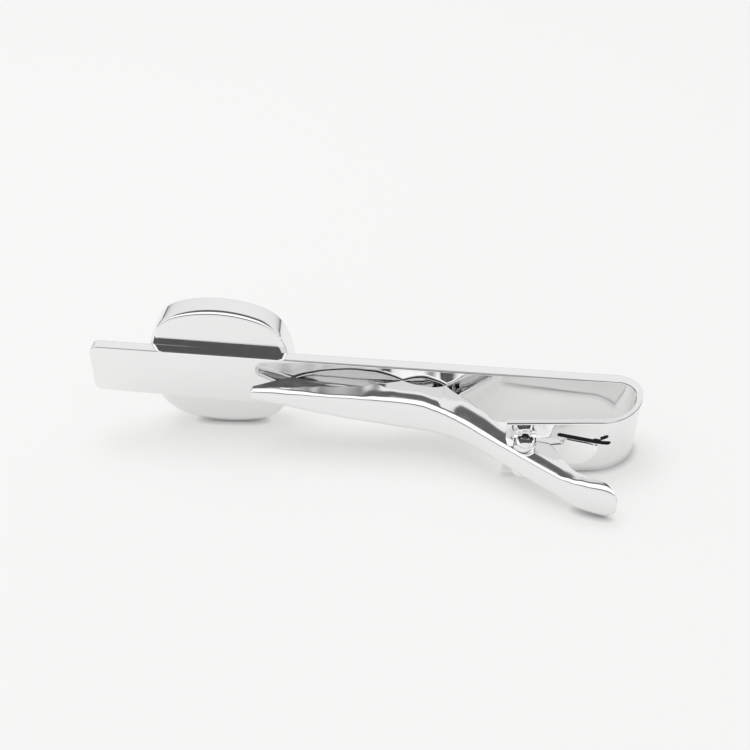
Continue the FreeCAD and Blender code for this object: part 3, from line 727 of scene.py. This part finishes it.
def rivet_ring(radius, height, side):
    """One ring of the rivet; above the ear its lip dips between the petals."""
    ring = []
    for step in range(RIVET_STEPS):
        turn = 2 * math.pi * step / RIVET_STEPS
        dip = PETAL_DIP * (0.5 - 0.5 * math.cos(PETALS * turn)) ** 2
        dip *= smooth_step(PETALS_FROM, PETALS_TO, height)
        reach = radius + (dip * PETAL_SPREAD if radius < SPREAD_REACH else 0.0)
        ring.append((PIN_X + reach * math.cos(turn), PIN_Y + reach * math.sin(turn), side * (height - dip)))
    return ring


def in_bore(x, y, z):
    """Whether a place is in the rivet's bore."""
    return math.hypot(x - PIN_X, y - PIN_Y) < BORE_REACH and abs(z) > BORE_FROM


def make_rivet(material):
    """A tubular rivet with a flared head at both ends."""
    lower = [rivet_ring(radius, height, -1) for radius, height in reversed(RIVET[1:])]
    upper = [rivet_ring(radius, height, 1) for radius, height in RIVET]
    rivet = new_piece("rivet", loft(lower + upper), material, "clip", ["hinge_pin"])
    # The rivet's bore is painted near-black: painted shade in the recess
    paint(rivet, painted_shade_metal(), in_bore)


# The lever's web, seen along the pin, with the sizes of the part's source in millimetres and degrees
SHEET = 0.45
JAW_TIP = 3.4
WEB_GAP = 2.45
JAW_ANGLE, LEVER_ANGLE, THUMB_ANGLE = (math.radians(angle) for angle in (4.1, 34.0, 14.0))
WAIST_RADIUS = 15.0
WEB_OFFSET = 1.5
THUMB_BEND_X = PIN_X + 3.5
THUMB_BEND_RADIUS = 10.0
THUMB_END = PIN_X + 9.0
TIP_ROUND = 0.35
THUMB_ROUND = 0.55

# The leaf spring: a foot on the leg, a turn round the pin and an arm along the web
FOOT_START, FOOT_END = 36.2, 39.4
FOOT_LIFT, LEAF_THICK, LEAF_HALF = 0.02, 0.3, 0.77
FOOT_LOW, FOOT_ROUND, FOOT_CORNER = -1.97, 2.0, 0.15
FOOT_TIP, TIP_STEPS = 1.2, 8
FOOT_STEP, FOOT_STEPS = 0.2, 7
FOOT_POINTS = TIP_STEPS + FOOT_STEPS + 2
SHOULDER = 0.5
TURN_POINTS, EYE_STEPS, ARM_STEPS = 24, 20, 10
LEAF_EYE = 0.53
ARM_LENGTH, ARM_DEPTH = 5.2, 0.97
LEAF_WEAR = 0.4


def foot_face(x, lift):
    """A place on the foot at x, lifted off the leg."""
    return x, leg_outside(x) - lift / math.cos(LEG_ANGLE)


def leaf_side(foot_lift, radius, depth):
    """One side of the leaf seen along the pin, from its foot's end to its arm's end."""
    turns = [QUARTER * step / TIP_STEPS for step in range(TIP_STEPS + 1)]
    spots = [FOOT_END - FOOT_TIP * (1 - math.cos(turn)) for turn in turns]
    spots += [FOOT_END - FOOT_TIP - FOOT_STEP * step for step in range(1, FOOT_STEPS + 1)]
    line = [foot_face(x, foot_lift) for x in spots] + [foot_face(FOOT_START, foot_lift)]
    line += between(line[-1], (PIN_X, PIN_Y + radius), TURN_POINTS)
    line += arc((PIN_X, PIN_Y), radius, QUARTER, 3 * QUARTER, EYE_STEPS)
    end_x = PIN_X + ARM_LENGTH * math.cos(LEVER_ANGLE) - depth * math.sin(LEVER_ANGLE)
    end_y = PIN_Y - ARM_LENGTH * math.sin(LEVER_ANGLE) - depth * math.cos(LEVER_ANGLE)
    return line + between(line[-1], (end_x, end_y), ARM_STEPS)


def leaf_edges(index, x):
    """Lower and upper edge of the leaf: wide at its foot, narrow from its shoulder on."""
    if index > FOOT_POINTS + TURN_POINTS or (index > FOOT_POINTS and x < FOOT_START - SHOULDER):
        return -LEAF_HALF, LEAF_HALF
    slot_x, slot_z, _, slant, half = LEG_CUTS[0]
    slope = math.tan(math.radians(slant))
    top = slot_z - half / math.cos(math.radians(slant)) + (slot_x - x) * slope
    low = FOOT_LOW + rounded_end(x, FOOT_END, FOOT_ROUND)
    top -= rounded_end(x, FOOT_END, FOOT_CORNER)
    narrow = smooth_step(FOOT_START, FOOT_START - SHOULDER, x) if x < FOOT_START else 0.0
    return low + (-LEAF_HALF - low) * narrow, top + (LEAF_HALF - top) * narrow


def make_spring(material):
    """The leaf spring; its arm lies along the lever and its foot on the leg."""
    outer = leaf_side(FOOT_LIFT, LEAF_EYE + LEAF_THICK, ARM_DEPTH)
    inner = leaf_side(FOOT_LIFT + LEAF_THICK, LEAF_EYE, ARM_DEPTH - LEAF_THICK)
    rings = []
    for index, (far, near) in enumerate(zip(outer, inner)):
        low, high = leaf_edges(index, far[0])
        rings.append(strip_ring(far, near, low, high, LEAF_WEAR, LEAF_WEAR))
    leaf = new_piece("spring_leaf", loft(rings), material, None, ["leaf_spring"])
    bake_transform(leaf)


def waist_start():
    """Where the jaw's straight line ends, so that the bend's far side passes the pin at its distance."""
    passing_x = PIN_X - WEB_OFFSET * math.sin(LEVER_ANGLE)
    passing_y = PIN_Y - WEB_OFFSET * math.cos(LEVER_ANGLE)
    steep, gentle = math.tan(LEVER_ANGLE), math.tan(JAW_ANGLE)
    meeting = (passing_y + passing_x * steep + WEB_GAP - JAW_TIP * gentle) / (steep - gentle)
    return meeting - WAIST_RADIUS * math.tan((LEVER_ANGLE - JAW_ANGLE) / 2) * math.cos(JAW_ANGLE)


# Where the web's stretches meet, worked out from its sizes
WAIST_X = waist_start()
WAIST_Y = -WEB_GAP - (WAIST_X - JAW_TIP) * math.tan(JAW_ANGLE)
SLOPE_X = WAIST_X + WAIST_RADIUS * (math.sin(LEVER_ANGLE) - math.sin(JAW_ANGLE))
SLOPE_Y = WAIST_Y + WAIST_RADIUS * (math.cos(LEVER_ANGLE) - math.cos(JAW_ANGLE))
THUMB_BEND_Y = SLOPE_Y - (THUMB_BEND_X - SLOPE_X) * math.tan(LEVER_ANGLE)
PAD_X = THUMB_BEND_X + THUMB_BEND_RADIUS * (math.sin(LEVER_ANGLE) - math.sin(THUMB_ANGLE))
PAD_Y = THUMB_BEND_Y + THUMB_BEND_RADIUS * (math.cos(LEVER_ANGLE) - math.cos(THUMB_ANGLE))


def web_line(x):
    """Height and slope of the web's outer face at x."""
    if x < WAIST_X:
        return -WEB_GAP - (x - JAW_TIP) * math.tan(JAW_ANGLE), JAW_ANGLE
    if x < SLOPE_X:
        slope = math.asin((x - WAIST_X) / WAIST_RADIUS + math.sin(JAW_ANGLE))
        return WAIST_Y + WAIST_RADIUS * (math.cos(slope) - math.cos(JAW_ANGLE)), slope
    if x < THUMB_BEND_X:
        return SLOPE_Y - (x - SLOPE_X) * math.tan(LEVER_ANGLE), LEVER_ANGLE
    if x < PAD_X:
        slope = math.asin(math.sin(LEVER_ANGLE) - (x - THUMB_BEND_X) / THUMB_BEND_RADIUS)
        return THUMB_BEND_Y + THUMB_BEND_RADIUS * (math.cos(LEVER_ANGLE) - math.cos(slope)), slope
    return PAD_Y - (x - PAD_X) * math.tan(THUMB_ANGLE), THUMB_ANGLE


# Free edge of the flanges: corners from tip to thumb pad, each with the bulge of the stretch after it
FREE_EDGE = [
    (JAW_TIP, -1.7, 0.0),
    (7.8, -0.1, -1.3),
    (19.3, -0.1, -0.65),
    (23.8, -0.1, 0.0),
    (PIN_X - 3.2, PIN_Y + 3.4, 0.0),
    (PIN_X - 1.05, PIN_Y + 1.05, 0.0),
    (PIN_X, PIN_Y + 1.05, 0.0),
    (PIN_X + 2.4, PIN_Y + 0.95, 0.25),
    (PIN_X + 3.8, PIN_Y - 1.5, -0.06),
    (PIN_X + 4.6, PIN_Y - 2.8, -0.06),
    (PIN_X + 5.4, PIN_Y - 3.55, 0.0),
    (PIN_X + 6.4, PIN_Y - 4.15, 0.03),
    (PIN_X + 7.4, PIN_Y - 4.55, 0.1),
    (PIN_X + 8.3, PIN_Y - 5.3, 0.06),
    (THUMB_END, PIN_Y - 5.9, 0.0),
]
RIM_HEIGHT = 0.3


def free_edge(x):
    """Height of the flanges' free edge at x, never lower than the pad's rim."""
    lowest = web_line(x)[0] + RIM_HEIGHT
    for (x_one, y_one, bulge), (x_two, y_two, _) in zip(FREE_EDGE, FREE_EDGE[1:]):
        if x <= x_two:
            share = (x - x_one) / (x_two - x_one)
            return max(lowest, y_one + (y_two - y_one) * share + 4 * bulge * share * (1 - share))
    return lowest


# The pinch at the waist: where it starts and ends, and its stations
PINCH_FROM, PINCH_TO, PINCH_STEPS = 22.9, 25.5, 26
# The lever's sections: x, half width, fold radius, flange's lean at fold and edge, height of that turn
SECTIONS = [
    (JAW_TIP, 0.75, 0.55, 2.5, 2.4, 1.5),
    (6.7, 1.05, 0.75, 2.5, 2.4, 1.5),
    (9.6, 1.26, 0.6, 2.6, 2.5, 1.5),
    (10.9, 1.36, 0.45, 2.7, 2.5, 1.5),
    (15.1, 1.66, 0.5, 2.7, 2.6, 1.5),
    (16.6, 1.8, 0.7, 9, 2.6, 1.0),
    (18.4, 1.91, 0.7, 11, -6, 1.5),
    (19.3, 1.94, 0.7, 11, -6.5, 1.4),
    (21.3, 1.97, 0.8, 10, -6.5, 1.4),
    (PINCH_FROM, 1.8, 0.8, 9, -6.5, 1.4),
    (23.6, 1.72, 0.8, -1, -3, 1.8),
    (24.6, 1.61, 0.8, 0, -5, 2.4),
    (PINCH_TO, 1.5, 0.8, 9, -6.5, 2.9),
    (27.6, 1.38, 0.8, 9, -6.5, 2.9),
    (29.8, 1.34, 0.65, 8, -6.5, 2.5),
    (33.6, 1.34, 0.5, 9, -6.5, 1.9),
    (35.2, 1.36, 0.5, 9, -6.5, 1.7),
    (36.4, 1.6, 0.6, 2, -4, 1.4),
    (37.6, 1.85, 0.7, -1, -4, 1.2),
    (39.4, 2.02, 0.8, -1, -4, 0.9),
    (40.3, 2.05, 0.8, 9, 8, 0.9),
    (THUMB_END, 2.05, 0.7, 9, 8, 0.9),
]
PAD_CORNER, TIP_CORNER = 1.5, 0.55
EDGE_ROUND = 0.07
# The flange leans evenly up to this share of its turn
TURN_START = 0.15
# The flange's inside leans in up to a height, so that the trough narrows
INSIDE_LEAN, INSIDE_LEAN_HEIGHT = math.radians(3), 1.5
# Least sizes that keep a section sound: flange, trough and its fold, and the fold's share of the width
LEAST_HEIGHT, LEAST_DEPTH, LEAST_FOLD = 0.2, 0.02, 0.12
FOLD_SHARE = 0.9
# The jaw's tip is closed up to this depth below its free edge
TIP_DEPTH = 0.05
# The web's slight crown and the places of its points, as shares of its flat half
WEB_CROWN, WEB_SHARES = 0.04, (0.0, 0.3, 0.6, 0.85)
# How far below the free edge the fold and the flange stop on a low section
FOLD_STOP, FLANGE_STOP = 0.03, 0.4 * EDGE_ROUND
FOLD_STEPS, FLANGE_STEPS, EDGE_STEPS = 10, 20, 6
# Stations along the lever: their step, those at its round ends, and the least gap between two
STATION_STEP, END_STEPS, LEAST_GAP = 0.2, 8, 0.012
WALL_GAP = 0.02


def section_sizes(x):
    """Half width, fold radius, leans and turn of the section at x, between the listed ones."""
    for one, two in zip(SECTIONS, SECTIONS[1:]):
        if x <= two[0]:
            share = smooth_step(one[0], two[0], x)
            return [a + (b - a) * share for a, b in zip(one[1:], two[1:])]
    return list(SECTIONS[-1][1:])


def lever_section(x):
    """Half a section as (height, half width), from its middle outside to its middle inside."""
    web, slope = web_line(x)
    height = free_edge(x) - web
    half, fold, lean, edge_lean, turn_height = section_sizes(x)
    half -= rounded_end(x, JAW_TIP, TIP_CORNER) + rounded_end(x, THUMB_END, PAD_CORNER)
    fold = min(fold, FOLD_SHARE * half)
    lift = rounded_end(x, JAW_TIP, TIP_ROUND) + rounded_end(x, THUMB_END, THUMB_ROUND)
    lift = min(lift, height - LEAST_HEIGHT)
    flange = height - lift
    wall = SHEET / math.cos(slope)
    if x < JAW_TIP + SHEET:
        wall = flange - TIP_DEPTH
    leans = [math.radians(angle) for angle in (lean, edge_lean)]
    outside = half_outline(flange, half, fold, leans, turn_height)
    inside = trough_outline(flange, half - SHEET, max(fold - SHEET, LEAST_FOLD), turn_height)
    points = [(lift + v, u) for v, u in outside]
    points += free_edge_round(points[-1], outside[-1][1] - inside[-1][1])
    reach = max(flange - wall, LEAST_DEPTH)
    for v, u in reversed(inside):
        share = v / flange
        points.append((lift + wall + share * reach - EDGE_ROUND * share, u))
    return [(web + v, u) for v, u in points]


def half_outline(height, half, fold, leans, turn_height):
    """Half a trough's outline: web, fold and flange, as (height, half width)."""
    lean, edge_lean = leans
    points = [((WEB_CROWN * share) ** 2, (half - fold) * share) for share in WEB_SHARES]
    for step in range(FOLD_STEPS + 1):
        turn = (QUARTER - lean) * step / FOLD_STEPS
        highest = height - FOLD_STOP * (1 - step / (2 * FOLD_STEPS))
        points.append((min(fold * (1 - math.cos(turn)), highest), half - fold + fold * math.sin(turn)))
    top = fold * (1 - math.sin(lean))
    rise = max(height - EDGE_ROUND - top, 0.0) / FLANGE_STEPS
    u = points[-1][1]
    for step in range(1, FLANGE_STEPS + 1):
        v = top + rise * step
        turned = smooth_step(TURN_START, 1.0, (v - top) / turn_height)
        u += rise * math.tan(lean + (edge_lean - lean) * turned)
        points.append((min(v, height - FLANGE_STOP), u))
    return points


def trough_outline(height, half, fold, turn_height):
    """Half the outline of the trough's inside, which narrows towards the free edge."""
    outline = half_outline(height, half, fold, (0.0, 0.0), turn_height)
    narrowing = math.tan(INSIDE_LEAN)
    return [(v, max(u - narrowing * min(v, INSIDE_LEAN_HEIGHT), 0.0)) for v, u in outline]


def free_edge_round(corner, thickness):
    """The rounded free edge of a flange, from its outer corner over to the inner one."""
    v, u = corner
    turns = [math.pi * step / EDGE_STEPS for step in range(1, EDGE_STEPS)]
    middle = u - thickness / 2
    return [(v + EDGE_ROUND * math.sin(turn), middle + thickness / 2 * math.cos(turn)) for turn in turns]


def lever_stations():
    """Places along the lever: evenly spaced, closer at its ends and its pinch, and at each corner."""
    count = round((THUMB_END - JAW_TIP) / STATION_STEP)
    places = [JAW_TIP + (THUMB_END - JAW_TIP) * step / count for step in range(count + 1)]
    places += [corner[0] for corner in FREE_EDGE[1:-1]]
    pinch = PINCH_TO - PINCH_FROM
    places += [PINCH_FROM + pinch * step / PINCH_STEPS for step in range(PINCH_STEPS + 1)]
    for step in range(1, END_STEPS):
        turn = QUARTER * step / END_STEPS
        places.append(JAW_TIP + TIP_CORNER * (1 - math.cos(turn)))
        places.append(THUMB_END - PAD_CORNER * (1 - math.cos(turn)))
    places.append(JAW_TIP + SHEET + WALL_GAP)
    places.sort()
    following = places[1:] + [math.inf]
    return [place for place, after in zip(places, following) if after - place > LEAST_GAP]


def make_lever(material):
    """The stamped lever: a trough whose section changes along it, closed at both ends."""
    rings = []
    for x in lever_stations():
        half = lever_section(x)
        rings.append([(x, v, u) for v, u in half] + [(x, v, -u) for v, u in reversed(half[1:-1])])
    new_piece("lever_shell", loft(rings), material, "lever", ["clip_lever"])


make_camera()
make_world()
make_floor()
make_lamp()
make_medallion(polished_metal("medallion_metal"))
make_bar(polished_metal("bar_metal"))
make_rivet(polished_metal("rivet_metal"))
make_spring(polished_metal("spring_metal"))
make_lever(polished_metal("lever_metal"))
bpy.context.scene.view_settings.view_transform = "Standard"
